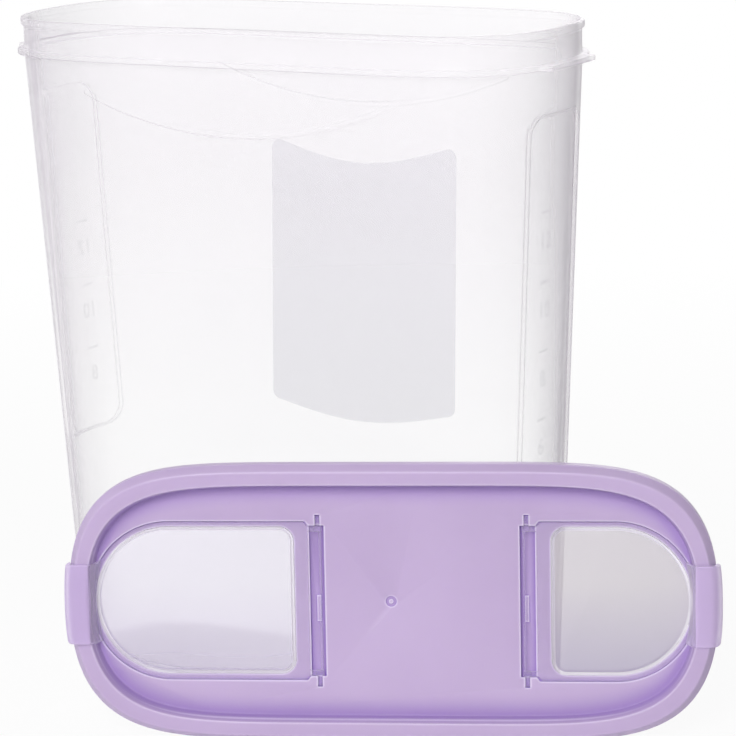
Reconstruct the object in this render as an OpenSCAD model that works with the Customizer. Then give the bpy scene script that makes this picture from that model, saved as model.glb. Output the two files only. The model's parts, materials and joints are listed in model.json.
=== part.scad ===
// Cereal container: a tapered bin with a flanged rim, and a lid with two flip flaps.
// The lid stands off the bin, on its long edge, and leans on the bin's front.

/* [Bin] */
// Length across the rim lip
rim_len = 242.8; // [220:0.1:260]
// Depth across the rim lip
rim_dep = 100.6; // [90:0.1:110]
// Height from the foot to the rim
bin_h = 277.1; // [250:0.1:300]
// Wall thickness
wall = 1.6; // [1.4:0.1:2]
// Draft of the end walls, in degrees
end_draft = 2.35; // [1:0.05:3]
// Draft of the front and back walls, in degrees
side_draft = 3.05; // [1:0.05:3.5]
// Height of the neck above the flange
neck_h = 13; // [11:0.5:15]
// Thickness of the flange
flange_t = 2.2; // [1.8:0.1:3]
// Length across the two end finger lips
finger_len = 251; // [249:0.1:253]
// Width of a finger lip and of the grip panel below it
grip_w = 41; // [34:0.5:44]
// Depth of the grip panels in the end walls
grip_in = 1.2; // [0.8:0.1:1.6]

/* [Lid] */
// Length across the skirt
lid_len = 255.6; // [254:0.1:258]
// Depth across the skirt
lid_dep = 110.8; // [110:0.1:112]
// Height of the skirt, from its edge to the ridge
skirt_h = 10; // [9.5:0.1:11]
// Depth of the panel below the ridge
panel_in = 7; // [6:0.1:8]
// Thickness of the panel
panel_t = 2; // [1.8:0.1:2.4]
// Turn of the lid about the vertical, in degrees
lid_yaw = 24.8; // [20:0.1:28]
// Lean of the lid from the vertical, in degrees
lid_lean = 4.7; // [4:0.1:5.5]
// Lid centre to the right of the bin's centre
lid_x = 73.3; // [71:0.1:77]

/* [Flaps] */
// Hinge axis of the pour flap, from the lid's centre
pour_hinge_x = -28.7; // [-32:0.1:-26]
// Hinge axis of the small flap, from the lid's centre
small_hinge_x = 53.3; // [50:0.1:56]
// Half the width of a flap's pocket, which is its end radius too
pocket_r = 32.05; // [30:0.05:34]
// Half the width of a window
window_r = 29.8; // [28:0.1:30.1]
// Thickness of a flap
flap_t = 1.3; // [1.2:0.1:1.6]
// Radius of a hinge pin
pin_r = 1; // [0.8:0.1:1.2]
// Width of a latch tab
tab_w = 32; // [28:0.5:36]

/* [Label] */
// Width of the label
label_w = 90; // [70:1:100]
// Height of the label at its sides
label_h = 113; // [90:1:120]

/* [Hidden] */

// Powers of the rounded outline that bin and lid share: high along X, lower along Y
pow_x = 6.4;
pow_y = 2.44;
ring_n = 100;
eps = 0.02;

// Bin, derived
rim_a = rim_len / 2;
rim_b = rim_dep / 2;
lip_t = 1;
lip_h = 3;
flange_top = bin_h - neck_h;
flange_low = flange_top - flange_t;
flange_out = 1.5;
foot_r = 7;
floor_t = 2;
grip_top = 244.3;
grip_low = 93.3;
grip_corner = 9;
arc_half = 70;
arc_sag = 14.2;
arc_low = 235.1;
arc_r = (arc_half * arc_half + arc_sag * arc_sag) / (2 * arc_sag);
bead_r = 1.1;

// Lid, derived
lid_a = lid_len / 2;
lid_b = lid_dep / 2;
// The outline that the groove, the plug ring and the ridge's inner wall follow lies further in
end_bulge = 1.8;
side_bulge = 0.8;
seal_a = lid_a - end_bulge;
seal_b = lid_b - side_bulge;
groove_top = -2;
step_z = -3.5;
lid_gap = 0.5;
lid_z = lid_b * cos(lid_lean) + skirt_h * sin(lid_lean);
panel_low = -panel_in - panel_t;

// Hinges and flaps, derived
pocket_z = -panel_in - 1.1;
flap_low = pocket_z + 0.1;
flap_gap = 0.35;
end_x = 88;
tab_low = -5.5;
tab_out = 1.65;
tab_corner = 3.5;
tab_turn = 18;
pin_z = flap_low + flap_t / 2;
pin_fit = 0.05;
arm_out = 30;
arm_t = 2;
arm_r = 1.7;
pin_end = 34;
socket_end = 34.6;
socket_w = 2 * (pin_r + pin_fit);
snap_in = 0.3;
trough_back = 2.6;
trough_front = 3.4;
trough_r = arm_r + 0.5;
trough_wall = 1.5;
plug_t = 1.2;
plug_low = -11;
window_near = 9.4;
window_corner = 6;
// Insets from the seal's outline at which the pockets, the windows and the plates end under the ridge
pocket_end = 8.9;
window_end = 9.1;
plate_end = 9.25;
// The pocket's edge steps in to the trough's width beside the hinge
step_in = pocket_r - arm_out - flap_gap;
step_len = 1.9;
// The rib behind the hinge line, and the low stop on the trough's floor under it
rib_back = 1.4;
rib_front = 0.5;
rib_t = 1.2;
stop_w = 1.6;
stop_low = -8.5;
stop_high = 2;
stop_h = 0.5;
gate_r = 2.2;
gate_in = 0.5;
nub_r = 0.9;
nub_h = 0.4;
label_t = 0.3;
label_mid = 2;
label_low = 105.3;

// Outline helpers
function signed(v, e) = sign(v) * pow(abs(v), e);
function on_outline(a, b, t) = [a * signed(cos(t), 2 / pow_x), b * signed(sin(t), 2 / pow_y)];
function outline(a, b, n = ring_n) = [for (i = [0 : n - 1]) on_outline(a, b, 360 * i / n)];
function ring(a, b, z) = [for (p = outline(a, b)) [p[0], p[1], z]];
// How far the outline reaches in the direction of angle g, for half sizes a and b
function reach(a, b, g) = max([for (p = outline(a, b, 360)) p[0] * cos(g) + p[1] * sin(g)]);

// Solid between rings that share the outline: each section is [half length, half depth, z]
module stack(sections) {
    m = len(sections);
    pts = [for (s = sections) each ring(s[0], s[1], s[2])];
    sides = [
        for (k = [0 : m - 2], i = [0 : ring_n - 1])
            let (j = (i + 1) % ring_n)
                [k * ring_n + i, (k + 1) * ring_n + i, (k + 1) * ring_n + j, k * ring_n + j]
    ];
    low = [for (i = [0 : ring_n - 1]) i];
    high = [for (i = [ring_n - 1 : -1 : 0]) (m - 1) * ring_n + i];
    polyhedron(points = pts, faces = concat([low], sides, [high]), convexity = 6);
}

// Closed profile of [half length, half depth, z] points, swept along the outline from angle t0 to angle t1
module sweep(profile, t0, t1, n) {
    m = len(profile);
    pts = [
        for (k = [0 : n], p = profile)
            let (q = on_outline(p[0], p[1], t0 + (t1 - t0) * k / n))
                [q[0], q[1], p[2]]
    ];
    sides = [
        for (k = [0 : n - 1], i = [0 : m - 1])
            let (j = (i + 1) % m)
                [k * m + i, k * m + j, (k + 1) * m + j, (k + 1) * m + i]
    ];
    start = [for (i = [m - 1 : -1 : 0]) i];
    end = [for (i = [0 : m - 1]) n * m + i];
    polyhedron(points = pts, faces = concat([start], sides, [end]), convexity = 6);
}

// Half sizes of the bin's wall at height z, set in by d
function wall_a(z, d) = rim_a - lip_t - d - (flange_low - z) * tan(end_draft);
function wall_b(z, d) = rim_b - lip_t - d - (flange_low - z) * tan(side_draft);
function wall_ring(z, d) = [wall_a(z, d), wall_b(z, d), z];

// Rings round the foot, a quarter circle of radius r that starts at height z0, set in by d
function foot_rings(d, z0, r) = [
    for (t = [0 : 18 : 90]) wall_ring(z0 + r * (1 - cos(t)), d + r * (1 - sin(t)))
];

// Outside of the wall below the flange, set in by d
module wall_body(d, low, top) {
    stack([wall_ring(low, d), wall_ring(top, d)]);
}

// Upright rounded rectangle through both end walls, where the grip panels are
module grip_prism(grow) {
    w = grip_w + 2 * grow;
    h = grip_top - grip_low + 2 * grow;
    translate([0, 0, grip_low - grow])
        rotate([90, 0, 90])
            linear_extrude(height = rim_len + 20, center = true)
                translate([-w / 2, 0])
                    rounded(w, h, grip_corner + grow, 24);
}

module rounded(w, h, r, n) {
    polygon([
        for (c = [[w - r, r, -90], [w - r, h - r, 0], [r, h - r, 90], [r, r, 180]], k = [0 : n / 4])
            let (t = c[2] + 90 * k / (n / 4))
                [c[0] + r * cos(t), c[1] + r * sin(t)]
    ]);
}

// Raised arc on the front and back walls, below the flange
module arc_bead() {
    half = asin(arc_half / arc_r);
    tilt = side_draft;
    y = wall_b(arc_low, 0);
    for (turn = [0, 180])
        rotate([0, 0, turn])
            translate([0, -y, arc_low])
                rotate([90 + tilt, 0, 0])
                    translate([0, arc_r, 0]) {
                        rotate([0, 0, -90 - half])
                            rotate_extrude(angle = 2 * half, $fn = 180)
                                translate([arc_r, 0])
                                    circle(r = bead_r, $fn = 16);
                        for (s = [-1, 1])
                            rotate([0, 0, -90 + s * half])
                                translate([arc_r, 0, 0])
                                    sphere(r = bead_r, $fn = 16);
                    }
}

// Everything outside the bin's wall: body, neck, lip bead and flange
module bin_outside() {
    n0 = [rim_a - lip_t, rim_b - lip_t];
    stack(concat(
        foot_rings(0, 0, foot_r),
        [
            wall_ring(flange_low, 0),
            [n0[0], n0[1], flange_low + 0.01],
            [n0[0], n0[1], bin_h - lip_h - 0.8],
            [rim_a - 0.2, rim_b - 0.2, bin_h - lip_h],
            [rim_a, rim_b, bin_h - lip_h + 0.4],
            [rim_a, rim_b, bin_h - 1],
            [rim_a - 0.3, rim_b - 0.3, bin_h - 0.3],
            [rim_a - lip_t, rim_b - lip_t, bin_h]
        ]
    ));
}

// The flange: a thin shelf all round, wider in front of the two finger grips
module flange() {
    side_a = rim_a + flange_out;
    side_b = rim_b + flange_out;
    translate([0, 0, flange_low]) {
        linear_extrude(height = flange_t)
            polygon(outline(side_a, side_b));
        linear_extrude(height = flange_t)
            intersection() {
                polygon(outline(finger_len / 2, side_b + 4));
                translate([-finger_len / 2, -grip_w / 2])
                    rounded(finger_len, grip_w, 3, 24);
            }
    }
}

// The space inside the bin, at the wall thickness d
module bin_inside(d) {
    n0 = [rim_a - lip_t - d, rim_b - lip_t - d];
    stack(concat(
        foot_rings(d, floor_t, foot_r - 1),
        [
            wall_ring(flange_low, d),
            [n0[0] + 0.2, n0[1] + 0.2, flange_top],
            [n0[0] + 0.2, n0[1] + 0.2, bin_h - 1.2],
            [n0[0] + 0.7, n0[1] + 0.7, bin_h + eps]
        ]
    ));
}

module bin() {
    color([0.93, 0.93, 0.95, 0.55])
        difference() {
            union() {
                difference() {
                    bin_outside();
                    difference() {
                        grip_prism(0);
                        wall_body(grip_in, -1, flange_low);
                    }
                }
                flange();
                arc_bead();
            }
            difference() {
                bin_inside(wall);
                difference() {
                    grip_prism(wall);
                    wall_body(grip_in + wall, -1, flange_low);
                }
            }
        }
}

// The printed side of the label is bare: a thin die-cut skin on the back wall
module back_label() {
    color([0.85, 0.87, 0.95])
        intersection() {
            difference() {
                wall_body(-label_t - eps, label_low - 20, flange_low - 10);
                wall_body(-eps, label_low - 21, flange_low - 9);
            }
            translate([label_mid, 0, label_low])
                rotate([90, 0, 180])
                    linear_extrude(height = rim_dep)
                        label_shape();
        }
}

// Both long edges dip in the middle, and the corners are rounded
module label_shape() {
    w = label_w / 2;
    r = 4;
    dip_top = 8;
    dip_low = 6;
    step = (2 * w - 2 * r) / 16;
    polygon(concat(
        [for (x = [-w + r : step : w - r + eps]) [x, -dip_low * cos(90 * x / (w - r))]],
        [for (t = [-90 : 22.5 : 0]) [w - r + r * cos(t), r + r * sin(t)]],
        [for (t = [0 : 22.5 : 90]) [w - r + r * cos(t), label_h - r + r * sin(t)]],
        [for (x = [w - r : -step : -w + r - eps]) [x, label_h - dip_top * cos(90 * x / (w - r))]],
        [for (t = [90 : 22.5 : 180]) [-w + r + r * cos(t), label_h - r + r * sin(t)]],
        [for (t = [180 : 22.5 : 270]) [-w + r + r * cos(t), r + r * sin(t)]]
    ));
}

// Stands the lid and its flaps, drawn flat with the ridge up, on edge against the bin
module leaned() {
    top_z = 2 * lid_b * cos(lid_lean);
    push = reach(wall_a(top_z, 0), wall_b(top_z, 0), lid_yaw - 90) + lid_gap + skirt_h;
    n = [sin(lid_yaw), -cos(lid_yaw)];
    e = [cos(lid_yaw), sin(lid_yaw)];
    lean_push = push + lid_b * sin(lid_lean);
    side = (lid_x - n[0] * lean_push) / e[0];
    translate([n[0] * lean_push + e[0] * side, n[1] * lean_push + e[1] * side, lid_z])
        rotate([90 - lid_lean, 0, lid_yaw])
            children();
}

// Points of a profile given as [inset, z], set in from the seal's outline or from the skirt's
function from_seal(profile) = [for (p = profile) [seal_a - p[0], seal_b - p[0], p[1]]];
function from_skirt(profile) = [for (p = profile) [lid_a - p[0], lid_b - p[0], p[1]]];

// Under the lid: from the panel past the plug ring to the top of the groove that takes the bin's rim
lid_under = [
    [9.8, panel_low], [8.8, panel_low - 0.8], [8.6, plug_low], [7.6, plug_low], [7.3, plug_low + 0.8],
    [7.15, groove_top - 1.5], [6.6, groove_top]
];
// The skirt: down its inside, round its edge, up past a fine step line and over the ridge's shoulder
lid_skirt = [
    [3.6, groove_top], [2.8, groove_top - 0.8], [2.2, -skirt_h + 1.2], [1.8, -skirt_h], [0.5, -skirt_h],
    [0, -skirt_h + 0.5], [0, step_z - 0.4], [0.4, step_z], [0.4, step_z + 0.3], [0.6, -2.2], [1.1, -1.3],
    [1.8, -0.6], [2.5, -0.2], [3.2, 0]
];
// The ridge's inner wall, down to the panel
lid_inner = [
    [5.8, 0], [6.1, -0.15], [6.8, -0.7], [7.4, -1.5], [7.8, -2.4], [8.1, -3.4], [8.3, -4.6],
    [8.5, -5.8], [8.8, -6.5], [9.4, -6.9], [10.4, -panel_in]
];

module lid_shell() {
    stack(concat(from_seal(lid_under), from_skirt(lid_skirt), from_seal(lid_inner)));
}

// Plan of a flap's pocket, window or plug, as half width r and near edge at distance u0 from the hinge
module d_shape(side, hinge_x, r, u0, corner) {
    x0 = hinge_x + side * u0;
    x1 = side * end_x;
    half_turn = [for (t = [-90 : 6 : 90]) [x1 + side * r * cos(t), r * sin(t)]];
    near = corner > 0
        ? [
            for (c = [[r - corner, 0], [corner - r, 90]], t = [0 : 15 : 90])
                [
                    x0 + side * corner * (1 - (c[1] == 0 ? sin(t) : cos(t))),
                    c[0] + corner * (c[1] == 0 ? cos(t) : -sin(t))
                ]
        ]
        : [
            for (v = [1, -1], k = [0 : 6])
                let (s = v > 0 ? k / 6 : 1 - k / 6)
                    [x0 + side * (0.2 + step_len * (1 - s)), v * (r - step_in * s * s * (3 - 2 * s))]
        ];
    polygon(concat(half_turn, near));
}

// The seal's outline set in by d, to end a pocket or a flap at the ridge's inner wall
module inset(d) {
    polygon(outline(seal_a - d, seal_b - d));
}

// Rectangle in plan, from u0 to u1 along a flap's own direction and v wide
module strip(side, hinge_x, u0, u1, v) {
    x = [hinge_x + side * u0, hinge_x + side * u1];
    polygon([[x[0], -v], [x[1], -v], [x[1], v], [x[0], v]]);
}

// The solid under the panel that a hinge trough and its pin sockets are cut into
module trough_block(side, hinge_x) {
    depth = pin_z - trough_r - trough_wall;
    translate([0, 0, depth])
        linear_extrude(height = panel_low + 1 - depth)
            strip(side, hinge_x, -trough_back - trough_wall, trough_front + trough_wall, socket_end + 1.4);
}

// Pocket, window, trough and pin sockets for one flap
module flap_seat(side, hinge_x) {
    translate([0, 0, pocket_z])
        linear_extrude(height = 9)
            intersection() {
                d_shape(side, hinge_x, pocket_r, trough_front - 0.3, 0);
                inset(pocket_end);
            }
    translate([0, 0, panel_low - 4])
        linear_extrude(height = 12)
            intersection() {
                d_shape(side, hinge_x, window_r, window_near, window_corner);
                inset(window_end);
            }
    // the trough that the arms and the rib turn in, with a low stop left on its floor
    difference() {
        translate([0, 0, pin_z - trough_r])
            linear_extrude(height = 12)
                strip(side, hinge_x, -trough_back, trough_front, arm_out + flap_gap);
        translate([hinge_x - stop_w / 2, stop_low, pin_z - trough_r - 1])
            cube([stop_w, stop_high - stop_low, stop_h + 1]);
    }
    // the sockets: round seats with an open slot above them
    for (v = [-1, 1])
        translate([hinge_x, v * (arm_out + socket_end) / 2, 0]) {
            translate([0, 0, pin_z])
                rotate([90, 0, 0])
                    cylinder(r = pin_r + pin_fit, h = socket_end - arm_out, center = true, $fn = 48);
            translate([0, 0, pin_z + 1])
                cube([socket_w - snap_in, socket_end - arm_out, 2], center = true);
        }
}

module lid_flat() {
    difference() {
        union() {
            lid_shell();
            trough_block(-1, pour_hinge_x);
            trough_block(1, small_hinge_x);
        }
        flap_seat(-1, pour_hinge_x);
        flap_seat(1, small_hinge_x);
        // the gate mark in the middle of the panel
        translate([0, 0, -panel_in - gate_in])
            cylinder(r = gate_r, h = 3, $fn = 40);
    }
    translate([0, 0, -panel_in - gate_in - 0.3])
        cylinder(r = nub_r, h = nub_h + 0.3, $fn = 32);
}

module lid() {
    color([0.78, 0.7, 0.85])
        leaned()
            lid_flat();
}

// Latch tab, from the plate up the ridge's inner wall: its underside, then its top on the way back
tab_under = [
    [10.6, flap_low], [plate_end, flap_low], [plate_end, -5.5], [8.75, -4.4], [8.4, -3.2], [8.05, -2.2],
    [7.5, -1.1], [6.9, -0.3], [6.3, 0.2], [5.9, 0.3]
];
tab_outside = [
    [2.9, 0.3], [2.3, 0.12], [1.5, -0.33], [0.8, -1.05], [0.3, -2.05], [0, -3.1], [-0.35, -3.9],
    [-0.35, tab_low], [-1.4, tab_low], [-tab_out, tab_low + 0.4], [-1.6, -2.4], [-1.2, -0.9],
    [-0.4, 0.3], [0.9, 1.2], [2.4, 1.65]
];
tab_back = [
    [6.2, 1.6], [7.1, 1.2], [8, 0.2], [8.9, -1.2], [9.5, -2.6], [10, -4], [10.5, -5.5]
];

module latch_tab(side) {
    intersection() {
        sweep(
            concat(from_seal(tab_under), from_skirt(tab_outside), from_seal(tab_back)),
            90 * (1 - side) - tab_turn, 90 * (1 - side) + tab_turn, 12
        );
        translate([side > 0 ? 0 : -lid_a - tab_out, -tab_w / 2, -12])
            linear_extrude(height = 20)
                rounded(lid_a + tab_out, tab_w, tab_corner, 24);
    }
}

// Plan of the window, drawn in by d
module plug_plan(side, hinge_x, d) {
    intersection() {
        d_shape(side, hinge_x, window_r - d, window_near + d, window_corner - d);
        inset(window_end + d);
    }
}

// One flap, drawn closed in its pocket
module flap_flat(side, hinge_x) {
    translate([0, 0, flap_low]) {
        linear_extrude(height = flap_t)
            intersection() {
                d_shape(side, hinge_x, pocket_r - flap_gap, trough_front + flap_gap, 0);
                inset(plate_end);
            }
        // the arms that carry the pins
        for (v = [-1, 1])
            linear_extrude(height = flap_t)
                intersection() {
                    strip(side, hinge_x, 0, trough_front + 1, arm_out);
                    translate([0, v * (arm_out - arm_t / 2)])
                        square([400, arm_t], center = true);
                }
    }
    for (v = [-1, 1])
        translate([hinge_x, v * arm_out, pin_z])
            rotate([v * 90, 0, 0]) {
                cylinder(r = arm_r, h = arm_t, $fn = 48);
                translate([0, 0, -(pin_end - arm_out)])
                    cylinder(r = pin_r, h = pin_end - arm_out + arm_t, $fn = 48);
            }
    // the rib from arm to arm behind the hinge line
    translate([0, 0, pin_z - rib_t / 2])
        linear_extrude(height = rib_t)
            strip(side, hinge_x, -rib_back, -rib_front, arm_out - 0.1);
    // the plug rim that closes the window
    translate([0, 0, plug_low])
        linear_extrude(height = flap_low - plug_low + 0.3)
            difference() {
                plug_plan(side, hinge_x, flap_gap);
                plug_plan(side, hinge_x, flap_gap + plug_t);
            }
    latch_tab(side);
}

module pour_flap() {
    color([0.9, 0.9, 0.93, 0.6])
        leaned()
            flap_flat(-1, pour_hinge_x);
}

module small_flap() {
    color([0.9, 0.9, 0.93, 0.6])
        leaned()
            flap_flat(1, small_hinge_x);
}

bin();
lid();
pour_flap();
small_flap();
back_label();
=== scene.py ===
"""Looks of the cereal container: translucent bin, lilac lid with two clear flip flaps, bare label."""

import json
import math

import bmesh
import bpy
from mathutils import Matrix, Vector


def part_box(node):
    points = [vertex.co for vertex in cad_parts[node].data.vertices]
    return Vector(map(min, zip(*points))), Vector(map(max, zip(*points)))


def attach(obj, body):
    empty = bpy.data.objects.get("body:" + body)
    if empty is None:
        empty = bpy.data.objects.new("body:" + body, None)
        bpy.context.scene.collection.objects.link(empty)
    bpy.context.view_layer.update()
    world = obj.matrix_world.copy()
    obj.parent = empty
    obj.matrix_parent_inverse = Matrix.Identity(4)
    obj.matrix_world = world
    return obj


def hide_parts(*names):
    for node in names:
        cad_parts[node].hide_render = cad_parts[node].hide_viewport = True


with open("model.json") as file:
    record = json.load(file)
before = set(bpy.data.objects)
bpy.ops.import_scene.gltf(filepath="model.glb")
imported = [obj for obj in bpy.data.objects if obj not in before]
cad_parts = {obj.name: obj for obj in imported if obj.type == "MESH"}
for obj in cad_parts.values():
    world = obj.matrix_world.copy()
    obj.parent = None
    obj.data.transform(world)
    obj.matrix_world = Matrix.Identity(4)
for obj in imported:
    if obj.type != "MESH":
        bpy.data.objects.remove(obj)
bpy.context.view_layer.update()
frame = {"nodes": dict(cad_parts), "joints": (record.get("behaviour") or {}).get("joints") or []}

MM = 0.001

# Powers of the rounded outline that the bin and the lid share
POW_X, POW_Y = 6.4, 2.44

# Bin, in millimetres
bin_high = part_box("bin")[1]
BIN_H = bin_high.z / MM
FINGER_A = bin_high.x / MM
# The flange stands out of the rim by this much
FLANGE_OUT = 1.5
RIM_A = 121.4
RIM_B = bin_high.y / MM - FLANGE_OUT
WALL = 1.6
END_DRAFT, SIDE_DRAFT = math.radians(2.35), math.radians(3.05)
LIP_T, LIP_H = 1.0, 3.0
FLANGE_TOP = BIN_H - 13.0
FLANGE_LOW = FLANGE_TOP - 2.2
GRIP_W, GRIP_IN = 41.0, 1.2
GRIP_TOP, GRIP_LOW, GRIP_CORNER = 244.3, 93.3, 9.0
FOOT_R, FLOOR_T = 7.0, 2.0
BIN_COLUMNS = 760
ARC_HALF, ARC_SAG, ARC_LOW, BEAD_R = 70.0, 14.2, 235.1, 1.1
ARC_R = (ARC_HALF**2 + ARC_SAG**2) / (2 * ARC_SAG)
BEAD_HALF_W = 1.25
# Level marks on the end walls: the depth and the height of the first number, by side
MARK_START = {1: (-8.0, 55.6), -1: (7.0, 33.9)}
MARK_COUNT, MARK_STEP, TICK_UP, MARK_CLEAR = 6, 27.75, 11.6, 8.0
MARK_OUT, NUMBER_SIZE, NUMBER_T, NUMBER_EDGE = 0.1, 9.5, 0.2, 0.1
TICK_SIZE = (7.0, 0.8, 0.5)

# Lid, in millimetres, in its own frame: x along it, y across it, z out of its face
SKIRT_H = 10.0
# How far the skirt stands out of the outline of the bin's seal, at the ends and at the sides
END_BULGE, SIDE_BULGE = 0.6, 0.8
GROOVE_TOP, STEP_Z = -2.0, -3.5
PANEL_IN = 7.0
PANEL_LOW = -9.0
# Heights where the tools that cut into the panel, through it and for the pockets end
CUT_TOP, WINDOW_CUT_TOP, POCKET_CUT_TOP = -5.0, -3.0, 1.5

# Flaps: side -1 is the pour flap and side 1 the small flap
HINGE_X = {-1: -28.7, 1: 53.3}
POCKET_R, WINDOW_R = 32.05, 29.8
# Insets of the far ends of pocket, window and plate from the ridge's outline
POCKET_END, WINDOW_END, PLATE_END = 8.9, 9.1, 9.25
END_X = 88.0
FLAP_T, FLAP_GAP = 1.3, 0.35
POCKET_Z = -PANEL_IN - 1.1
FLAP_LOW = POCKET_Z + 0.1
PIN_Z = FLAP_LOW + FLAP_T / 2
PIN_R, PIN_FIT = 1.0, 0.05
PIN_END, SOCKET_END = 34.0, 34.6
ARM_OUT, ARM_T, ARM_R = 30.0, 2.0, 1.7
# The hinge trough, behind and in front of the pin's axis
TROUGH_BACK, TROUGH_FRONT, TROUGH_WALL = 2.6, 3.4, 1.5
TROUGH_R = ARM_R + 0.5
PLUG_LOW, PLUG_T = -11.0, 1.2
WINDOW_NEAR, WINDOW_CORNER = 9.4, 6.0
STEP_IN, STEP_LEN = POCKET_R - ARM_OUT - FLAP_GAP, 1.9
# The nub on the trough's floor
STOP_W, STOP_LOW, STOP_HIGH, STOP_H = 1.6, -8.5, 2.0, 0.5
TAB_W, TAB_OUT, TAB_CORNER, TAB_LOW = 32.0, 1.65, 3.5, -5.5
# The tab begins this far inside the lid's end
TAB_ROOT = 9.0
RIB_NEAR, RIB_FAR, RIB_HALF_T = -0.5, -1.4, 0.6
SLOT_HALF_W = 0.9
# The round mark in the middle of the panel
GATE_R, GATE_DEPTH, GATE_NUB_R = 2.2, 0.5, 0.9

# Label
LABEL_W, LABEL_H, LABEL_LOW, LABEL_MID, LABEL_T = 90.0, 113.0, 105.3, 2.0, 0.3
LABEL_CORNER, LABEL_LOW_DIP, LABEL_TOP_DIP = 4.0, 6.0, 8.0

# Camera, fitted to the viewing angle of the photograph
CAM_AZ, CAM_EL, CAM_ROLL = math.radians(30.708), math.radians(12.922), math.radians(-1.584)
CAM_DIST = 1.21771
CAM_AIM = Vector((0.02964, 0.0, 0.13401))
SENSOR, IMAGE_W, FOCAL_PX = 36.0, 736, 2973.1


def lid_matrix():
    """The lid's own frame in the row frame, read from the two hinges."""
    pour, small = (joint_named(n) for n in ("pour_flap_hinge", "small_flap_hinge"))
    across = Vector(pour["axis"]).normalized()
    along = (Vector(small["pos_m"]) - Vector(pour["pos_m"])).normalized()
    out = along.cross(across).normalized()
    origin = Vector(pour["pos_m"]) - along * HINGE_X[-1] * MM - out * PIN_Z * MM
    turn = Matrix((along, across, out)).transposed().to_4x4()
    return Matrix.Translation(origin) @ turn


def joint_named(name):
    return next(j for j in frame["joints"] if j["name"] == name)


def lid_half_sizes():
    """Half length and half depth of the lid, measured on its CAD node."""
    back = LID_M.inverted()
    points = [back @ v.co / MM for v in frame["nodes"]["lid"].data.vertices]
    return max(p.x for p in points), max(p.y for p in points)


LID_M = lid_matrix()
LID_A, LID_B = lid_half_sizes()
# The outline that the groove, the pockets and the ridge's inner wall follow
SEAL_A, SEAL_B = LID_A - END_BULGE, LID_B - SIDE_BULGE


# Shape helpers


def signed(v, e):
    return math.copysign(abs(v) ** e, v)


def on_outline(a, b, t):
    return a * signed(math.cos(t), 2 / POW_X), b * signed(math.sin(t), 2 / POW_Y)


def outline_x(a, b, y):
    """Half length of the outline at the depth y."""
    return a * max(0.0, 1 - (abs(y) / b) ** POW_Y) ** (1 / POW_X)


def outline_y(a, b, x):
    """Half depth of the outline at the length x."""
    return b * max(0.0, 1 - (abs(x) / a) ** POW_X) ** (1 / POW_Y)


def even_angles(a, b, n):
    """Angles of n points that are evenly spaced along the outline."""
    fine = 40000
    points = [on_outline(a, b, 2 * math.pi * i / fine) for i in range(fine + 1)]
    run = [0.0]
    for p, q in zip(points, points[1:]):
        run.append(run[-1] + math.dist(p, q))
    angles = []
    k = 0
    for i in range(n):
        want = run[-1] * i / n
        while run[k + 1] < want:
            k += 1
        share = (want - run[k]) / (run[k + 1] - run[k])
        angles.append(2 * math.pi * (k + share) / fine)
    return angles


def angle_at_y(b, y):
    """The first-quarter angle at which the outline reaches the depth y."""
    return math.asin(min(1.0, abs(y) / b) ** (POW_Y / 2))


def smooth_step(v):
    v = min(1.0, max(0.0, v))
    return v * v * (3 - 2 * v)


def chaikin(profile, closed, rounds=2, cut=0.22):
    """Rounds the corners of a profile."""
    for _ in range(rounds):
        pairs = list(zip(profile, profile[1:]))
        if closed:
            pairs.append((profile[-1], profile[0]))
        cornered = []
        for p, q in pairs:
            cornered.append(tuple(a + (b - a) * cut for a, b in zip(p, q)))
            cornered.append(tuple(b - (b - a) * cut for a, b in zip(p, q)))
        profile = cornered if closed else [profile[0]] + cornered + [profile[-1]]
    return profile


def placed(name, data):
    """A new object in the scene."""
    obj = bpy.data.objects.new(name, data)
    bpy.context.scene.collection.objects.link(obj)
    return obj


def mesh_object(name, points, faces):
    mesh = bpy.data.meshes.new(name)
    mesh.from_pydata([(x * MM, y * MM, z * MM) for x, y, z in points], [], faces)
    obj = placed(name, mesh)
    bm = bmesh.new()
    bm.from_mesh(mesh)
    bmesh.ops.recalc_face_normals(bm, faces=bm.faces)
    bm.to_mesh(mesh)
    bm.free()
    return obj


def loft(name, rings):
    """Skin over rings of equal length, closed by a flat face at each end."""
    n = len(rings[0])
    points = [p for ring in rings for p in ring]
    faces = []
    for k in range(len(rings) - 1):
        for i in range(n):
            j = (i + 1) % n
            faces.append((k * n + i, k * n + j, (k + 1) * n + j, (k + 1) * n + i))
    faces.append(tuple(range(n)))
    faces.append(tuple((len(rings) - 1) * n + i for i in range(n)))
    return mesh_object(name, points, faces)


def prism(name, plan, low, high):
    return loft(name, [[(x, y, z) for x, y in plan] for z in (low, high)])


def box_plan(x0, x1, y0, y1):
    return [(x0, y0), (x1, y0), (x1, y1), (x0, y1)]


def circle_plan(r, n):
    turns = [2 * math.pi * i / n for i in range(n)]
    return [(r * math.cos(t), r * math.sin(t)) for t in turns]


def rod(name, x, z, y0, y1, r):
    """Round rod along the lid's y."""
    plan = circle_plan(r, 48)
    return loft(name, [[(x + u, y, z + w) for u, w in plan] for y in (y0, y1)])


def combine(base, tool, operation):
    """Joins a tool to the base, or cuts it out, and removes the tool."""
    mod = base.modifiers.new("cut", "BOOLEAN")
    mod.operation = operation
    mod.solver = "EXACT"
    mod.object = tool
    bake(base)
    bpy.data.objects.remove(tool)
    return base


def evaluated_mesh(obj):
    bpy.context.view_layer.update()
    graph = bpy.context.evaluated_depsgraph_get()
    return bpy.data.meshes.new_from_object(obj.evaluated_get(graph))


def bake(obj):
    """Replaces the mesh by what its modifiers make of it."""
    made = evaluated_mesh(obj)
    obj.modifiers.clear()
    obj.data = made


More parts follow.
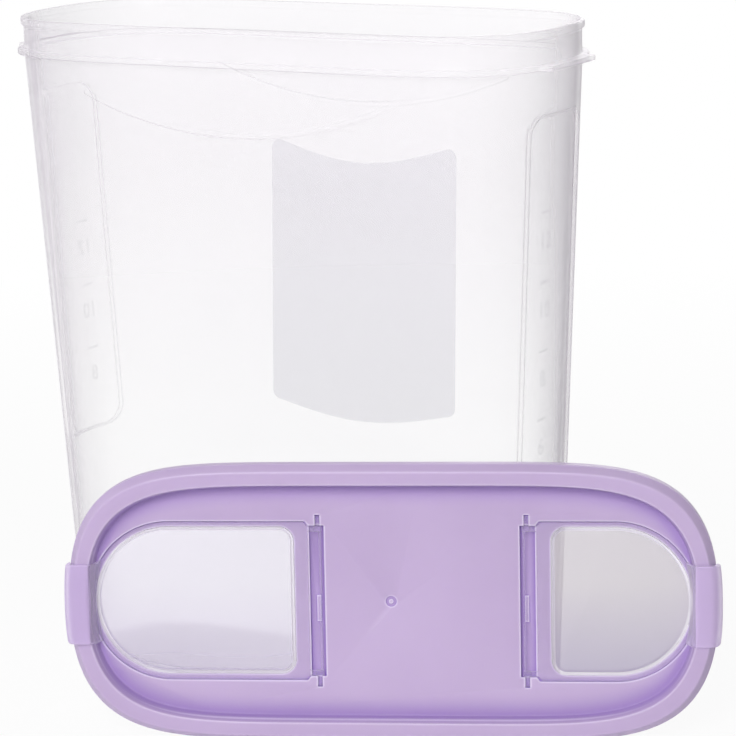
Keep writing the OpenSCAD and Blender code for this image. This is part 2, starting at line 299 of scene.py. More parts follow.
def soften(obj, width, angle=40):
    """Rounds the sharp edges and shades the rest smoothly."""
    bm = bmesh.new()
    bm.from_mesh(obj.data)
    bmesh.ops.remove_doubles(bm, verts=bm.verts, dist=0.00001)
    bmesh.ops.dissolve_degenerate(bm, dist=0.00001, edges=bm.edges)
    bm.to_mesh(obj.data)
    bm.free()
    mod = obj.modifiers.new("edges", "BEVEL")
    mod.width = width * MM
    mod.segments = 2
    mod.limit_method = "ANGLE"
    mod.angle_limit = math.radians(angle)
    mod.use_clamp_overlap = True
    bake(obj)
    shade(obj, angle)


def shade(obj, angle):
    """Smooth shading, with edges sharper than the angle kept sharp."""
    bm = bmesh.new()
    bm.from_mesh(obj.data)
    limit = math.radians(angle)
    for f in bm.faces:
        f.smooth = True
    for e in bm.edges:
        e.smooth = len(e.link_faces) == 2 and e.calc_face_angle(math.pi) < limit
    bm.to_mesh(obj.data)
    bm.free()


# Bin


def wall_a(z, d):
    return RIM_A - LIP_T - d - (FLANGE_LOW - z) * math.tan(END_DRAFT)


def wall_b(z, d):
    return RIM_B - LIP_T - d - (FLANGE_LOW - z) * math.tan(SIDE_DRAFT)


def bin_angles():
    """Evenly spaced columns, with more at the sides of the finger lips."""
    angles = even_angles(RIM_A, RIM_B, BIN_COLUMNS)
    half = GRIP_W / 2
    for past in (-3, -2, -1.2, -0.6, -0.2, -0.02, 0.02, 0.5):
        t = angle_at_y(RIM_B + FLANGE_OUT, half + past)
        angles += [t, math.pi - t, math.pi + t, 2 * math.pi - t]
    return sorted(angles)


def grip_mask(y, z):
    """1 inside the grip panel, 0 outside, with a soft step between."""
    qy = abs(y) - GRIP_W / 2 + GRIP_CORNER
    qz = abs(z - (GRIP_TOP + GRIP_LOW) / 2) - (GRIP_TOP - GRIP_LOW) / 2 + GRIP_CORNER
    away = math.hypot(max(qy, 0), max(qz, 0)) + min(max(qy, qz), 0) - GRIP_CORNER
    return 1 - smooth_step((away + 1.5) / 1.8)


def arc_height(x, z):
    """How far the arc bead stands out of the wall."""
    s = (z - ARC_LOW) / math.cos(SIDE_DRAFT)
    if abs(x) <= ARC_HALF:
        away = abs(math.hypot(x, s - ARC_R) - ARC_R)
    else:
        away = math.hypot(abs(x) - ARC_HALF, s - ARC_SAG)
    return BEAD_R * max(0.0, 1 - (away / BEAD_HALF_W) ** 2) ** 0.75


def wall_row(angles, z, d, beads):
    """One row of the wall at height z, set in by d, with the grip panels and the arc beads."""
    row = []
    for t in angles:
        x, y = on_outline(wall_a(z, d), wall_b(z, d), t)
        shift = d + GRIP_IN * grip_mask(y, z)
        if beads and ARC_LOW - 3 < z < ARC_LOW + ARC_SAG + 3:
            shift -= arc_height(x, z)
        if shift != d:
            x, y = on_outline(wall_a(z, shift), wall_b(z, shift), t)
        row.append((x, y, z))
    return row


def plain_row(angles, a, b, z):
    return [on_outline(a, b, t) + (z,) for t in angles]


def flange_row(angles, d, z):
    """The flange's edge set in by d, with the two finger lips."""
    row = []
    half = GRIP_W / 2 - d
    corner = 3.0 - d
    for t in angles:
        x, y = on_outline(RIM_A + FLANGE_OUT - d, RIM_B + FLANGE_OUT - d, t)
        if abs(y) < half and abs(x) > RIM_A / 2:
            over = max(0.0, abs(y) - (half - corner))
            lip = FINGER_A - d - corner + math.sqrt(max(0.0, corner**2 - over**2))
            x = math.copysign(max(abs(x), lip), x)
        row.append((x, y, z))
    return row


def wall_heights():
    """Heights of the outer wall's rows, dense where the beads and the panels' edges are."""
    heights = []
    z = FOOT_R
    while z < FLANGE_LOW - 0.3:
        heights.append(z)
        if ARC_LOW - 2.5 < z < ARC_LOW + ARC_SAG + 2.5:
            z += 0.3
        elif abs(z - GRIP_LOW) < 11:
            z += 0.7
        elif z > FLANGE_LOW - 12:
            z += 1.5
        else:
            z += 4.0
    return heights + [FLANGE_LOW - 0.3]


def foot_rows(angles, d, z0, r):
    rows = []
    for i in range(9):
        t = math.radians(90 * i / 8)
        rows.append(wall_row(angles, z0 + r * (1 - math.cos(t)), d + r * (1 - math.sin(t)), False))
    return rows


def make_bin():
    angles = bin_angles()
    rows = foot_rows(angles, 0, 0, FOOT_R)
    rows += [wall_row(angles, z, 0, True) for z in wall_heights()[1:]]
    neck_a, neck_b = RIM_A - LIP_T, RIM_B - LIP_T
    edge = [(0.35, 0.0), (0.1, 0.1), (0.0, 0.35)]
    rows += [plain_row(angles, neck_a + 0.3, neck_b + 0.3, FLANGE_LOW)]
    rows += [flange_row(angles, d, FLANGE_LOW + z) for d, z in edge]
    rows += [flange_row(angles, d, FLANGE_TOP - z) for d, z in reversed(edge)]
    outside = [
        (-0.5, FLANGE_TOP), (-0.15, FLANGE_TOP + 0.15), (0, FLANGE_TOP + 0.5),
        (0, FLANGE_TOP + 4), (0, BIN_H - LIP_H - 1.2), (-0.1, BIN_H - LIP_H - 0.8),
        (-0.75, BIN_H - LIP_H - 0.15), (-0.95, BIN_H - LIP_H + 0.1), (-LIP_T, BIN_H - LIP_H + 0.4),
        (-LIP_T, BIN_H - 1.0), (-0.93, BIN_H - 0.6), (-0.75, BIN_H - 0.25), (-0.4, BIN_H - 0.05),
        (0, BIN_H), (0.4, BIN_H - 0.05), (0.75, BIN_H - 0.3), (WALL - 0.7, BIN_H - 0.6),
        (WALL - 0.3, BIN_H - 1.3), (WALL - 0.2, BIN_H - 2.5), (WALL - 0.2, BIN_H - 7),
        (WALL - 0.2, FLANGE_TOP), (WALL - 0.1, FLANGE_TOP - 1.1),
    ]
    rows += [plain_row(angles, neck_a - d, neck_b - d, z) for d, z in outside]
    heights = [z for z in wall_heights() if not ARC_LOW - 2.5 < z < ARC_LOW + ARC_SAG + 2.5]
    heights += [ARC_LOW + 3 * i for i in range(6)] + [GRIP_TOP - 2, GRIP_TOP - 1, GRIP_TOP]
    inner_foot = FOOT_R - 1
    heights = sorted(set(z for z in heights if z > FLOOR_T + inner_foot + 0.5), reverse=True)
    rows += [wall_row(angles, z, WALL, False) for z in heights]
    rows += reversed(foot_rows(angles, WALL, FLOOR_T, inner_foot))
    obj = loft("bin_shell", rows)
    shade(obj, 50)
    return obj


# Level marks


def end_spot(side, y, z, out):
    """Place on the outside of an end wall, with x to the right as seen from outside, z off the wall."""
    x = side * (outline_x(wall_a(z, GRIP_IN), wall_b(z, GRIP_IN), y) + out)
    normal = Vector((side * math.cos(END_DRAFT), 0, -math.sin(END_DRAFT)))
    up = Vector((side * math.sin(END_DRAFT), 0, math.cos(END_DRAFT)))
    right = up.cross(normal)
    spot = Matrix((right, up, normal)).transposed().to_4x4()
    return Matrix.Translation(Vector((x, y, z)) * MM) @ spot


def number_mark(text, side, y, z):
    curve = bpy.data.curves.new("number", "FONT")
    curve.body = text
    curve.size = NUMBER_SIZE * MM
    curve.align_x = "CENTER"
    curve.align_y = "CENTER"
    curve.extrude = NUMBER_T * MM
    curve.bevel_depth = NUMBER_EDGE * MM
    curve.offset = -NUMBER_EDGE * MM
    obj = placed("number", curve)
    mesh = evaluated_mesh(obj)
    bpy.data.objects.remove(obj)
    mesh.transform(end_spot(side, y, z, MARK_OUT))
    return mesh


def tick_mark(side, y, z):
    size = Matrix.Diagonal([v * MM for v in TICK_SIZE] + [1])
    bm = bmesh.new()
    bmesh.ops.create_cube(bm, size=1, matrix=end_spot(side, y, z, MARK_OUT) @ size)
    mesh = bpy.data.meshes.new("tick")
    bm.to_mesh(mesh)
    bm.free()
    return mesh


def on_grip(z):
    return GRIP_LOW + MARK_CLEAR < z < GRIP_TOP - MARK_CLEAR


def make_marks():
    """Plain even numbers with a tick above each, where they fit on the grip panels."""
    bm = bmesh.new()
    for side, (y, low) in MARK_START.items():
        for i in range(MARK_COUNT):
            z = low + MARK_STEP * i
            if on_grip(z):
                bm.from_mesh(number_mark(str(2 * i + 2), side, y, z))
            if on_grip(z + TICK_UP):
                bm.from_mesh(tick_mark(side, y, z + TICK_UP))
    mesh = bpy.data.meshes.new("level_marks")
    bm.to_mesh(mesh)
    bm.free()
    obj = placed("level_marks", mesh)
    shade(obj, 35)
    return obj


# Label


def make_label():
    """Bare film on the back wall, with dipping long edges and round corners."""
    half = LABEL_W / 2
    r = LABEL_CORNER
    steps, rows = 48, 24
    columns = [-half * math.cos(math.pi * i / steps) for i in range(steps + 1)]
    points = []
    for out in (0.02, LABEL_T):
        for x in columns:
            over = max(0.0, abs(x) - (half - r))
            corner = r - math.sqrt(max(0.0, r * r - over * over))
            wave = math.cos(math.pi / 2 * min(1.0, abs(x) / (half - r)))
            low = LABEL_LOW - LABEL_LOW_DIP * wave + corner
            high = LABEL_LOW + LABEL_H - LABEL_TOP_DIP * wave - corner
            for k in range(rows + 1):
                z = low + (high - low) * k / rows
                y = outline_y(wall_a(z, -out), wall_b(z, -out), LABEL_MID - x)
                points.append((LABEL_MID - x, y, z))
    n = rows + 1
    side = (steps + 1) * n
    faces = []
    for i in range(steps):
        for k in range(rows):
            a = i * n + k
            faces.append((a, a + 1, a + n + 1, a + n))
            faces.append((side + a, side + a + n, side + a + n + 1, side + a + 1))
    rim = [i * n for i in range(steps)] + [steps * n + k for k in range(rows)]
    rim += [i * n + rows for i in range(steps, 0, -1)] + [k for k in range(rows, 0, -1)]
    for a, b in zip(rim, rim[1:] + rim[:1]):
        faces.append((a, b, side + b, side + a))
    obj = mesh_object("label_film", points, faces)
    shade(obj, 50)
    return obj


# Lid

# Profiles as (inset, z): under the lid, round the skirt to the ridge's top, and down its inner wall
LID_UNDER = [
    (9.8, PANEL_LOW), (8.8, PANEL_LOW - 0.8), (8.6, PLUG_LOW), (7.6, PLUG_LOW), (7.3, PLUG_LOW + 0.8),
    (7.15, GROOVE_TOP - 1.5), (6.6, GROOVE_TOP),
]
LID_SKIRT = [
    (3.6, GROOVE_TOP), (2.8, GROOVE_TOP - 0.8), (2.2, -SKIRT_H + 1.2), (1.8, -SKIRT_H), (0.5, -SKIRT_H),
    (0.0, -SKIRT_H + 0.5), (0.0, STEP_Z - 0.4), (0.5, STEP_Z), (0.5, STEP_Z + 0.25), (1.1, -2.2),
    (2.05, -0.7), (2.5, -0.15), (3.1, 0.0),
]
LID_INNER = [
    (6.4, 0.0), (6.95, -0.05), (7.2, -0.35), (7.45, -1.5), (8.3, -5.9), (8.5, -6.6), (8.75, -6.95),
    (9.4, -PANEL_IN),
]


def from_seal(profile):
    return [(SEAL_A - d, SEAL_B - d, z) for d, z in profile]


def from_skirt(profile):
    return [(LID_A - d, LID_B - d, z) for d, z in profile]


def d_plan(side, hinge_x, r, u0, corner, end):
    """Plan of a pocket, window or plate: round far end within the ridge, near edge u0 from the hinge."""
    x0, x1 = hinge_x + side * u0, side * END_X
    plan = []
    for i in range(61):
        t = math.radians(-90 + 3 * i)
        y = r * math.sin(t)
        x = abs(x1) + r * math.cos(t)
        plan.append((side * min(x, outline_x(SEAL_A - end, SEAL_B - end, y)), y))
    if corner > 0:
        for i in range(13):
            t = math.radians(90 * i / 12)
            plan.append((x0 + side * corner * (1 - math.sin(t)), r - corner + corner * math.cos(t)))
        for i in range(13):
            t = math.radians(90 * i / 12)
            plan.append((x0 + side * corner * (1 - math.cos(t)), corner - r - corner * math.sin(t)))
    else:
        for v, steps in ((1, range(11)), (-1, range(10, -1, -1))):
            for k in steps:
                x = x0 + side * (0.2 + STEP_LEN * (1 - k / 10))
                plan.append((x, v * (r - STEP_IN * smooth_step(k / 10))))
    return plan


def strip_plan(side, hinge_x, u0, u1, v0, v1):
    xs = sorted((hinge_x + side * u0, hinge_x + side * u1))
    return box_plan(xs[0], xs[1], v0, v1)


def make_lid():
    angles = even_angles(LID_A, LID_B, 420)
    profile = from_seal(LID_UNDER) + from_skirt(LID_SKIRT) + from_seal(LID_INNER)
    profile = [profile[0]] + chaikin(profile[1:-1], False) + [profile[-1]]
    lid = loft("lid_shell", [plain_row(angles, a, b, z) for a, b, z in profile])
    for side, hinge in HINGE_X.items():
        depth = PIN_Z - TROUGH_R - TROUGH_WALL
        reach = SOCKET_END + 1.4
        plan = strip_plan(side, hinge, -TROUGH_BACK - TROUGH_WALL, TROUGH_FRONT + TROUGH_WALL, -reach, reach)
        combine(lid, prism("block", plan, depth, PANEL_LOW + 1), "UNION")
    for side, hinge in HINGE_X.items():
        cut_seat(lid, side, hinge)
    gate = prism("gate", circle_plan(GATE_R, 40), -PANEL_IN - GATE_DEPTH, CUT_TOP)
    combine(lid, gate, "DIFFERENCE")
    nub = prism("nub", circle_plan(GATE_NUB_R, 32), -PANEL_IN - 1, -PANEL_IN - 0.1)
    combine(lid, nub, "UNION")
    soften(lid, 0.22)
    return lid


def cut_seat(lid, side, hinge):
    """Pocket, window, trough and the sockets of one flap."""
    pocket = d_plan(side, hinge, POCKET_R, TROUGH_FRONT - 0.3, 0, POCKET_END)
    combine(lid, prism("pocket", pocket, POCKET_Z, POCKET_CUT_TOP), "DIFFERENCE")
    window = d_plan(side, hinge, WINDOW_R, WINDOW_NEAR, WINDOW_CORNER, WINDOW_END)
    combine(lid, prism("window", window, PANEL_LOW - 4, WINDOW_CUT_TOP), "DIFFERENCE")
    reach = ARM_OUT + FLAP_GAP
    trough = strip_plan(side, hinge, -TROUGH_BACK, TROUGH_FRONT, -reach, reach)
    combine(lid, prism("trough", trough, PIN_Z - TROUGH_R, CUT_TOP), "DIFFERENCE")
    stop = box_plan(hinge - STOP_W / 2, hinge + STOP_W / 2, STOP_LOW, STOP_HIGH)
    floor_z = PIN_Z - TROUGH_R
    combine(lid, prism("stop", stop, floor_z - 0.5, floor_z + STOP_H), "UNION")
    for v in (-1, 1):
        y0, y1 = sorted((v * (ARM_OUT - 1), v * SOCKET_END))
        combine(lid, rod("seat", hinge, PIN_Z, y0, y1, PIN_R + PIN_FIT), "DIFFERENCE")
        slot = box_plan(hinge - SLOT_HALF_W, hinge + SLOT_HALF_W, y0, y1)
        combine(lid, prism("slot", slot, PIN_Z, CUT_TOP), "DIFFERENCE")


# Flaps

# The latch tab from the plate over the ridge: its underside, its outside and its top on the way back
TAB_UNDER = [
    (10.6, FLAP_LOW), (PLATE_END, FLAP_LOW), (PLATE_END, -5.5), (8.8, -4.4), (8.55, -3.2), (8.3, -2.1),
    (8.05, -1.0), (7.7, -0.1), (7.1, 0.3), (6.2, 0.35),
]
TAB_OUTSIDE = [
    (3.1, 0.35), (2.2, 0.25), (1.6, -0.45), (0.7, -1.95), (0.15, -2.95), (-0.1, -3.3), (-0.35, -3.9),
    (-0.35, TAB_LOW), (-1.4, TAB_LOW), (-TAB_OUT, TAB_LOW + 0.4), (-1.6, -2.4), (-1.2, -0.9),
    (-0.4, 0.3), (0.9, 1.2), (2.4, 1.65),
]
TAB_BACK = [(6.2, 1.6), (7.3, 1.4), (8.3, 0.7), (9.05, -0.7), (9.6, -2.4), (10.05, -4.0), (10.5, -5.5)]


def latch_tab(side):
    """The tab over the ridge: its profile along the lid's end, cut to a plan with round corners."""
    profile = chaikin(from_seal(TAB_UNDER) + from_skirt(TAB_OUTSIDE) + from_seal(TAB_BACK), True)
    half = TAB_W / 2 + 2
    sections = []
    for i in range(41):
        y = half * (i / 20 - 1)
        sections.append([(side * outline_x(a, b, y), y, z) for a, b, z in profile])
    tab = loft("tab", sections)
    reach = LID_A + TAB_OUT + 0.4
    w = TAB_W / 2
    plan = [(side * (END_X + 2), -w)]
    for i in range(13):
        t = math.radians(-90 + 7.5 * i)
        x = reach - TAB_CORNER + TAB_CORNER * math.cos(t)
        plan.append((side * x, -w + TAB_CORNER + TAB_CORNER * math.sin(t)))
    plan += [(x, -y) for x, y in reversed(plan)]
    return combine(tab, prism("plan", plan, -15, 10), "INTERSECT")


def make_flap(name, side):
    hinge = HINGE_X[side]
    plan = d_plan(side, hinge, POCKET_R - FLAP_GAP, TROUGH_FRONT + FLAP_GAP, 0, PLATE_END)
    flap = prism(name, plan, FLAP_LOW, FLAP_LOW + FLAP_T)
    for v in (-1, 1):
        y0, y1 = sorted((v * (ARM_OUT - ARM_T), v * ARM_OUT))
        arm = strip_plan(side, hinge, 0, TROUGH_FRONT + 1, y0, y1)
        combine(flap, prism("arm", arm, FLAP_LOW, FLAP_LOW + FLAP_T), "UNION")
        combine(flap, rod("knuckle", hinge, PIN_Z, y0, y1, ARM_R), "UNION")
        y0, y1 = sorted((v * (ARM_OUT - 1), v * PIN_END))
        combine(flap, rod("pin", hinge, PIN_Z, y0, y1, PIN_R), "UNION")
    rib = strip_plan(side, hinge, RIB_FAR, RIB_NEAR, 0.1 - ARM_OUT, ARM_OUT - 0.1)
    combine(flap, prism("rib", rib, PIN_Z - RIB_HALF_T, PIN_Z + RIB_HALF_T), "UNION")
    combine(flap, plug_rim(side, hinge), "UNION")
    combine(flap, latch_tab(side), "UNION")
    soften(flap, 0.2)
    return flap


PLATE_SLOT, PANE_SLOT, RIM_SLOT, TAB_SLOT = range(4)


def finish_flap(flap, side, materials):
    """Materials in the order plate, pane on its underside, plug rim and latch tab."""
    flap.data.materials.clear()
    for material in materials:
        flap.data.materials.append(material)
    near = WINDOW_NEAR + FLAP_GAP - 0.3
    pane_r = WINDOW_R - FLAP_GAP - PLUG_T + 0.3
    mesh = flap.data
    for face in mesh.polygons:
        corners = [mesh.vertices[i].co / MM for i in face.vertices]
        height = face.center.z / MM - FLAP_LOW
        if min(side * c.x for c in corners) > LID_A - TAB_ROOT:
            face.material_index = TAB_SLOT
        elif min(side * (c.x - HINGE_X[side]) for c in corners) < near:
            face.material_index = PLATE_SLOT
        elif height < -0.05:
            face.material_index = RIM_SLOT
        elif face.normal.z < -0.9 and height < 0.2 and max(abs(c.y) for c in corners) < pane_r:
            face.material_index = PANE_SLOT


def plug_rim(side, hinge):
    """The rim under the plate that closes the window."""
    outer, inner = (
        d_plan(side, hinge, WINDOW_R - g, WINDOW_NEAR + g, WINDOW_CORNER - g, WINDOW_END + g)
        for g in (FLAP_GAP, FLAP_GAP + PLUG_T)
    )
    rim = prism("rim", outer, PLUG_LOW, FLAP_LOW + 0.3)
    return combine(rim, prism("hollow", inner, PLUG_LOW - 1, FLAP_LOW + 1), "DIFFERENCE")


# Materials


def new_material(name):
    mat = bpy.data.materials.new(name)
    mat.use_nodes = True
    tree = mat.node_tree
    return mat, tree, tree.nodes["Principled BSDF"]


def add_node(tree, kind, **inputs):
    node = tree.nodes.new(kind)
    for key, value in inputs.items():
        node.inputs[key.replace("_", " ")].default_value = value
    return node


def object_noise(tree, scale, detail=3.0):
    where = tree.nodes.new("ShaderNodeTexCoord")
    noise = add_node(tree, "ShaderNodeTexNoise", Scale=scale, Detail=detail)
    tree.links.new(where.outputs["Object"], noise.inputs["Vector"])
    return noise.outputs["Fac"]


def mapped(tree, value, low, high, from_low=0.0, from_high=1.0):
    node = tree.nodes.new("ShaderNodeMapRange")
    node.inputs["From Min"].default_value = from_low
    node.inputs["From Max"].default_value = from_high
    node.inputs["To Min"].default_value = low
    node.inputs["To Max"].default_value = high
    tree.links.new(value, node.inputs["Value"])
    return node.outputs["Result"]


def blend_colours(tree, value, first, second):
    """A ramp between two colours."""
    ramp = tree.nodes.new("ShaderNodeValToRGB")
    ramp.color_ramp.elements[0].color = (*first, 1)
    ramp.color_ramp.elements[1].color = (*second, 1)
    tree.links.new(value, ramp.inputs["Fac"])
    return ramp.outputs["Color"]


def fine_grain(tree, shader, strength, scale=900.0):
    bump = add_node(tree, "ShaderNodeBump", Strength=strength, Distance=0.0002)
    tree.links.new(object_noise(tree, scale, 2.0), bump.inputs["Height"])
    tree.links.new(bump.outputs["Normal"], shader.inputs["Normal"])


def grazing(tree):
    """0 where the surface faces the viewer, 1 where it is seen edge on."""
    node = add_node(tree, "ShaderNodeLayerWeight", Blend=0.5)
    return node.outputs["Facing"]


def openness(tree, distance, inside):
    """Share of the nearby space that is free: low in corners, or inside, low along sharp edges."""
    node = tree.nodes.new("ShaderNodeAmbientOcclusion")
    node.samples = 8
    node.only_local = True
    node.inside = inside
    node.inputs["Distance"].default_value = distance
    return node.outputs["AO"]


def mixed(tree, share, first, second):
    """Mix of two colours, each a plain value or a link."""
    node = tree.nodes.new("ShaderNodeMix")
    node.data_type = "RGBA"
    tree.links.new(share, node.inputs[0])
    for socket, colour in ((node.inputs[6], first), (node.inputs[7], second)):
        if isinstance(colour, tuple):
            socket.default_value = (*colour, 1)
        else:
            tree.links.new(colour, socket)
    return node.outputs[2]


# Reach in millimetres of the painted shade in recesses and of the painted highlight along sharp edges
SHADE_REACH, HIGHLIGHT_REACH = 9.0, 0.9


def lilac_plastic():
    """Satin lilac, with painted shade that deepens its colour in the recesses, where light bounces from wall
    to wall, and a painted highlight that makes it pale along edges.
    """
    mat, tree, shader = new_material("lilac_plastic")
    cloud = mapped(tree, object_noise(tree, 22.0, 4.0), 0, 1, 0.3, 0.7)
    face = blend_colours(tree, cloud, (0.54, 0.415, 0.65), (0.565, 0.44, 0.675))
    # Painted shade: the base colour deepens to dark violet where little nearby space is free, in corners and
    # recesses
    free = mapped(tree, openness(tree, SHADE_REACH * MM, False), 0, 1, 0.45, 1.0)
    painted_recess_shade = mixed(tree, arithmetic(tree, "POWER", free, 1.4), (0.31, 0.185, 0.54), face)
    # Painted highlight: the base colour turns pale along sharp convex edges
    edge = mapped(tree, openness(tree, HIGHLIGHT_REACH * MM, True), 0.8, 0, 0.65, 0.97)
    tree.links.new(mixed(tree, edge, painted_recess_shade, (0.88, 0.8, 0.97)), shader.inputs["Base Color"])
    tree.links.new(mapped(tree, object_noise(tree, 160.0), 0.32, 0.4), shader.inputs["Roughness"])
    shader.inputs["Specular IOR Level"].default_value = 0.45
    shader.inputs["Subsurface Weight"].default_value = 0.1
    shader.inputs["Subsurface Radius"].default_value = (0.0012, 0.0009, 0.0018)
    fine_grain(tree, shader, 0.06)
    return mat


def arithmetic(tree, operation, first, second):
    node = tree.nodes.new("ShaderNodeMath")
    node.operation = operation
    node.use_clamp = True
    for socket, value in zip(node.inputs, (first, second)):
        if isinstance(value, (int, float)):
            socket.default_value = value
        else:
            tree.links.new(value, socket)
    return node.outputs[0]


def place_share(tree, axis, start, end, low=0.0, high=1.0):
    """A value that runs from low at the start to high at the end of a stretch along one axis."""
    where = tree.nodes.new("ShaderNodeTexCoord")
    split = tree.nodes.new("ShaderNodeSeparateXYZ")
    tree.links.new(where.outputs["Object"], split.inputs[0])
    return mapped(tree, split.outputs[axis], low, high, start, end)


def edge_density(tree, steep, power, face_on, most):
    """Opacity of a thin wall: low face on, and high where the wall is seen edge on."""
    curve = arithmetic(tree, "POWER", grazing(tree), power)
    dense = tree.nodes.new("ShaderNodeMath")
    dense.operation = "MULTIPLY_ADD"
    dense.inputs[1].default_value = steep
    if isinstance(face_on, float):
        dense.inputs[2].default_value = face_on
    else:
        tree.links.new(face_on, dense.inputs[2])
    tree.links.new(curve, dense.inputs[0])
    return arithmetic(tree, "MINIMUM", dense.outputs[0], most)


# The bin's wall is clearer near its floor: the heights in metres between which it gets milkier,
# and the share of its face-on opacity that is left below them
BIN_FADE = 0.1, 0.22
FADE_SHARE = 0.15


def clear_plastic(name, low, high, density, rough, fade=None):
    """Milky see-through plastic. Density is its opacity: rise to the edges, power, face on and most.
    Fade is the stretch of height below which it is clearer, where there is one."""
    mat, tree, shader = new_material(name)
    tint = blend_colours(tree, mapped(tree, object_noise(tree, 9.0), 0, 1, 0.35, 0.65), low, high)
    tree.links.new(tint, shader.inputs["Base Color"])
    gloss = mapped(tree, object_noise(tree, 40.0), rough, rough + 0.08)
    tree.links.new(gloss, shader.inputs["Roughness"])
    steep, power, face_on, most = density
    if fade:
        face_on = place_share(tree, "Z", *fade, FADE_SHARE * face_on, face_on)
    opacity = edge_density(tree, steep, power, face_on, most)
    tree.links.new(opacity, shader.inputs["Alpha"])
    shader.inputs["IOR"].default_value = 1.49
    fine_grain(tree, shader, 0.03, 500.0)
    return mat


# Heights in metres between which the panes' painted shade changes from its deep to its pale colour
PANE_SHADE_FADE = 0.022, 0.062


def pane_painted_shade(name, low, high, opacity):
    """Matt underside of a flap's plate, coloured with painted shade that is deeper towards the lid's lower
    edge.
    """
    mat, tree, shader = new_material(name)
    cloud = mapped(tree, object_noise(tree, 30.0), -0.08, 0.08)
    share = arithmetic(tree, "ADD", place_share(tree, "Z", *PANE_SHADE_FADE), cloud)
    tree.links.new(blend_colours(tree, share, low, high), shader.inputs["Base Color"])
    shader.inputs["Roughness"].default_value = 0.6
    shader.inputs["Alpha"].default_value = opacity
    fine_grain(tree, shader, 0.04, 500.0)
    return mat


def label_material():
    mat, tree, shader = new_material("label_film")
    tint = blend_colours(tree, object_noise(tree, 30.0), (0.76, 0.76, 0.98), (0.8, 0.8, 1))
    tree.links.new(tint, shader.inputs["Base Color"])
    shader.inputs["Roughness"].default_value = 0.5
    shader.inputs["Alpha"].default_value = 0.14
    fine_grain(tree, shader, 0.05)
    return mat


# Setting


def make_floor():
    """Pale floor that keeps the shadow, and is plain white to the eye further off."""
    mesh = bpy.data.meshes.new("floor")
    mesh.from_pydata([(x, y, 0) for x, y in box_plan(-6, 6, -6, 6)], [], [(0, 1, 2, 3)])
    floor = placed("floor", mesh)
    mat, tree, shader = new_material("pale_floor")
    shader.inputs["Base Color"].default_value = (0.93, 0.93, 0.93, 1)
    shader.inputs["Roughness"].default_value = 0.6
    where = tree.nodes.new("ShaderNodeTexCoord")
    away = tree.nodes.new("ShaderNodeVectorMath")
    away.operation = "LENGTH"
    tree.links.new(where.outputs["Object"], away.inputs[0])
    glow = mapped(tree, away.outputs["Value"], 0.92, 1.0, 0.3, 0.9)
    share = arithmetic(tree, "MULTIPLY", glow, eye_rays(tree))
    white = add_node(tree, "ShaderNodeEmission", Color=(1, 1, 1, 1), Strength=1.0)
    mix = tree.nodes.new("ShaderNodeMixShader")
    tree.links.new(share, mix.inputs[0])
    tree.links.new(shader.outputs[0], mix.inputs[1])
    tree.links.new(white.outputs[0], mix.inputs[2])
    tree.links.new(mix.outputs[0], tree.nodes["Material Output"].inputs["Surface"])
    floor.data.materials.append(mat)


def eye_rays(tree):
    """1 for rays that show the setting to the eye: direct, mirrored or through clear plastic."""
    path = tree.nodes.new("ShaderNodeLightPath")
    direct = arithmetic(tree, "MAXIMUM", path.outputs["Is Camera Ray"], path.outputs["Is Glossy Ray"])
    return arithmetic(tree, "MAXIMUM", direct, path.outputs["Is Transmission Ray"])


def make_world():
    world = bpy.data.worlds.new("studio")
    bpy.context.scene.world = world
    world.use_nodes = True
    tree = world.node_tree
    tree.nodes.clear()
    white = add_node(tree, "ShaderNodeBackground", Color=(1, 1, 1, 1), Strength=1.0)
    soft = add_node(tree, "ShaderNodeBackground", Color=(0.96, 0.97, 1, 1), Strength=0.12)
    mix = tree.nodes.new("ShaderNodeMixShader")
    out = tree.nodes.new("ShaderNodeOutputWorld")
    tree.links.new(eye_rays(tree), mix.inputs[0])
    tree.links.new(soft.outputs[0], mix.inputs[1])
    tree.links.new(white.outputs[0], mix.inputs[2])
    tree.links.new(mix.outputs[0], out.inputs["Surface"])


def add_lamp(name, place, aim, size, watts):
    light = bpy.data.lights.new(name, "AREA")
    light.shape = "RECTANGLE"
    light.size, light.size_y = size
    light.energy = watts
    obj = placed(name, light)
    obj.location = place
    obj.rotation_euler = (Vector(aim) - Vector(place)).to_track_quat("-Z", "Y").to_euler()


def make_camera():
    level = math.cos(CAM_EL)
    back = Vector((math.sin(CAM_AZ) * level, -math.cos(CAM_AZ) * level, math.sin(CAM_EL)))
    right = Vector((math.cos(CAM_AZ), math.sin(CAM_AZ), 0))
    up = back.cross(right)
    turned_right = right * math.cos(CAM_ROLL) + up * math.sin(CAM_ROLL)
    turned_up = up * math.cos(CAM_ROLL) - right * math.sin(CAM_ROLL)
    cam = bpy.data.cameras.new("camera")
    cam.sensor_width = SENSOR
    cam.lens = FOCAL_PX / IMAGE_W * SENSOR
    cam.clip_start = 0.05
    cam.clip_end = 50
    obj = placed("camera", cam)
    turn = Matrix((turned_right, turned_up, back)).transposed().to_4x4()
    obj.matrix_world = Matrix.Translation(CAM_AIM + back * CAM_DIST) @ turn
    bpy.context.scene.camera = obj


def place_piece(obj, material, node, body):
    """Gives a piece its material, unless it has its own already, and its place in the assembly."""
    if material:
        obj.data.materials.append(material)
    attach(obj, body)
    if node:
        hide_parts(node)


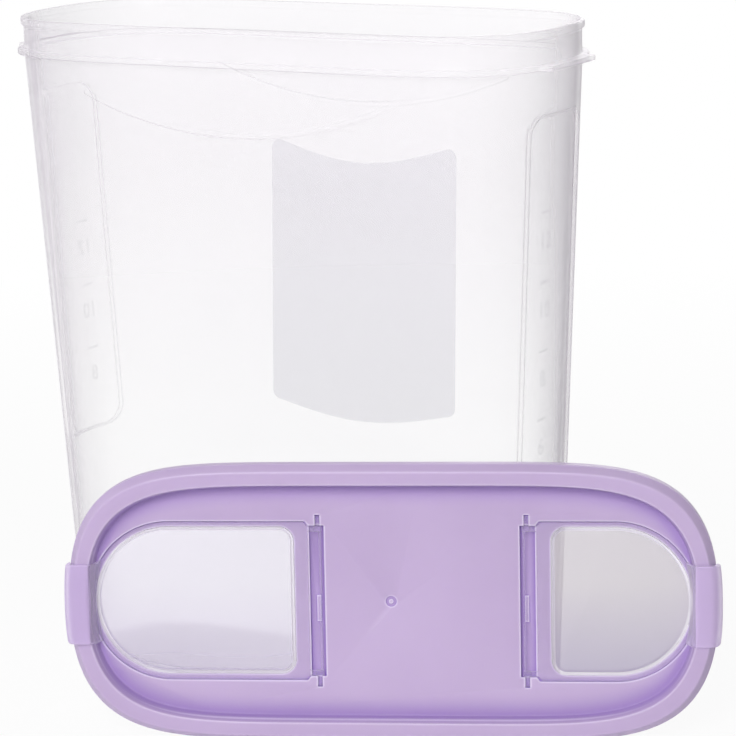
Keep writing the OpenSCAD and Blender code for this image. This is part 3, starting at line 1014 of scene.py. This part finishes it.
# Clear plastics: the two colours that the tint wanders between, the density and the roughness
CLEAR = {
    "bin_plastic": ((0.88, 0.83, 0.9), (0.92, 0.87, 0.93), (1.0, 3.2, 0.13, 0.88), 0.3),
    "flap_plastic": ((0.74, 0.66, 0.84), (0.78, 0.7, 0.88), (0.7, 2.2, 0.1, 0.7), 0.34),
    # The plug rim: the flap plastic made paler and denser, a painted highlight for its edges catching the
    # light
    "rim_highlight_plastic": ((0.93, 0.88, 1), (0.96, 0.91, 1), (0.5, 1.5, 0.45, 0.85), 0.34),
    # The latch tab: the flap plastic tinted lilac, and made brighter as painted light against the shade on
    # its turned-away face
    "tab_brightened_plastic": ((0.76, 0.6, 0.92), (0.8, 0.64, 0.95), (0.5, 2.0, 0.5, 0.9), 0.34),
    "mark_plastic": ((0.6, 0.6, 0.7), (0.66, 0.66, 0.74), (0.1, 2.0, 0.03, 0.14), 0.35),
}
# Panes: deep colour of the painted shade, pale colour and opacity
PANES = {
    "pour": ((0.5, 0.38, 0.71), (0.78, 0.73, 0.88), 0.35),
    "small": ((0.3, 0.24, 0.42), (0.57, 0.53, 0.55), 0.68),
}
# Lamps: place and aim in metres, sides in metres and power in watts
LAMPS = {
    "front_softbox": ((0.5, -1.71, 1.12), (0.05, 0, 0.1), (0.9, 0.9), 27),
    "left_softbox": ((-1.5, -0.6, 1.0), (0, 0, 0.12), (1.0, 1.0), 4.5),
    "top_softbox": ((0.1, -0.2, 1.8), (0, 0, 0.1), (1.2, 1.2), 4),
    "back_softbox": ((-0.3, 1.6, 0.9), (0, 0, 0.15), (1.2, 1.2), 6),
}


def dress_bin(clear):
    place_piece(make_bin(), clear["bin_plastic"], "bin", "bin")
    place_piece(make_marks(), clear["mark_plastic"], None, "bin")
    place_piece(make_label(), label_material(), "back_label", "bin")


def dress_lid():
    lid = make_lid()
    lid.data.transform(LID_M)
    place_piece(lid, lilac_plastic(), "lid", "lid")


def dress_flap(name, side, clear):
    node = name + "_flap"
    pane = pane_painted_shade(name + "_pane", *PANES[name])
    flap = make_flap(node + "_clear", side)
    finish_flap(flap, side, (clear["flap_plastic"], pane, clear["rim_highlight_plastic"], clear["tab_brightened_plastic"]))
    flap.data.transform(LID_M)
    place_piece(flap, None, node, node)


def main():
    bpy.context.scene.view_settings.view_transform = "Standard"
    clear = {}
    for name, look in CLEAR.items():
        clear[name] = clear_plastic(name, *look, BIN_FADE if name == "bin_plastic" else None)
    dress_bin(clear)
    dress_lid()
    dress_flap("pour", -1, clear)
    dress_flap("small", 1, clear)
    make_floor()
    make_world()
    make_camera()
    for name, lamp in LAMPS.items():
        add_lamp(name, *lamp)


main()
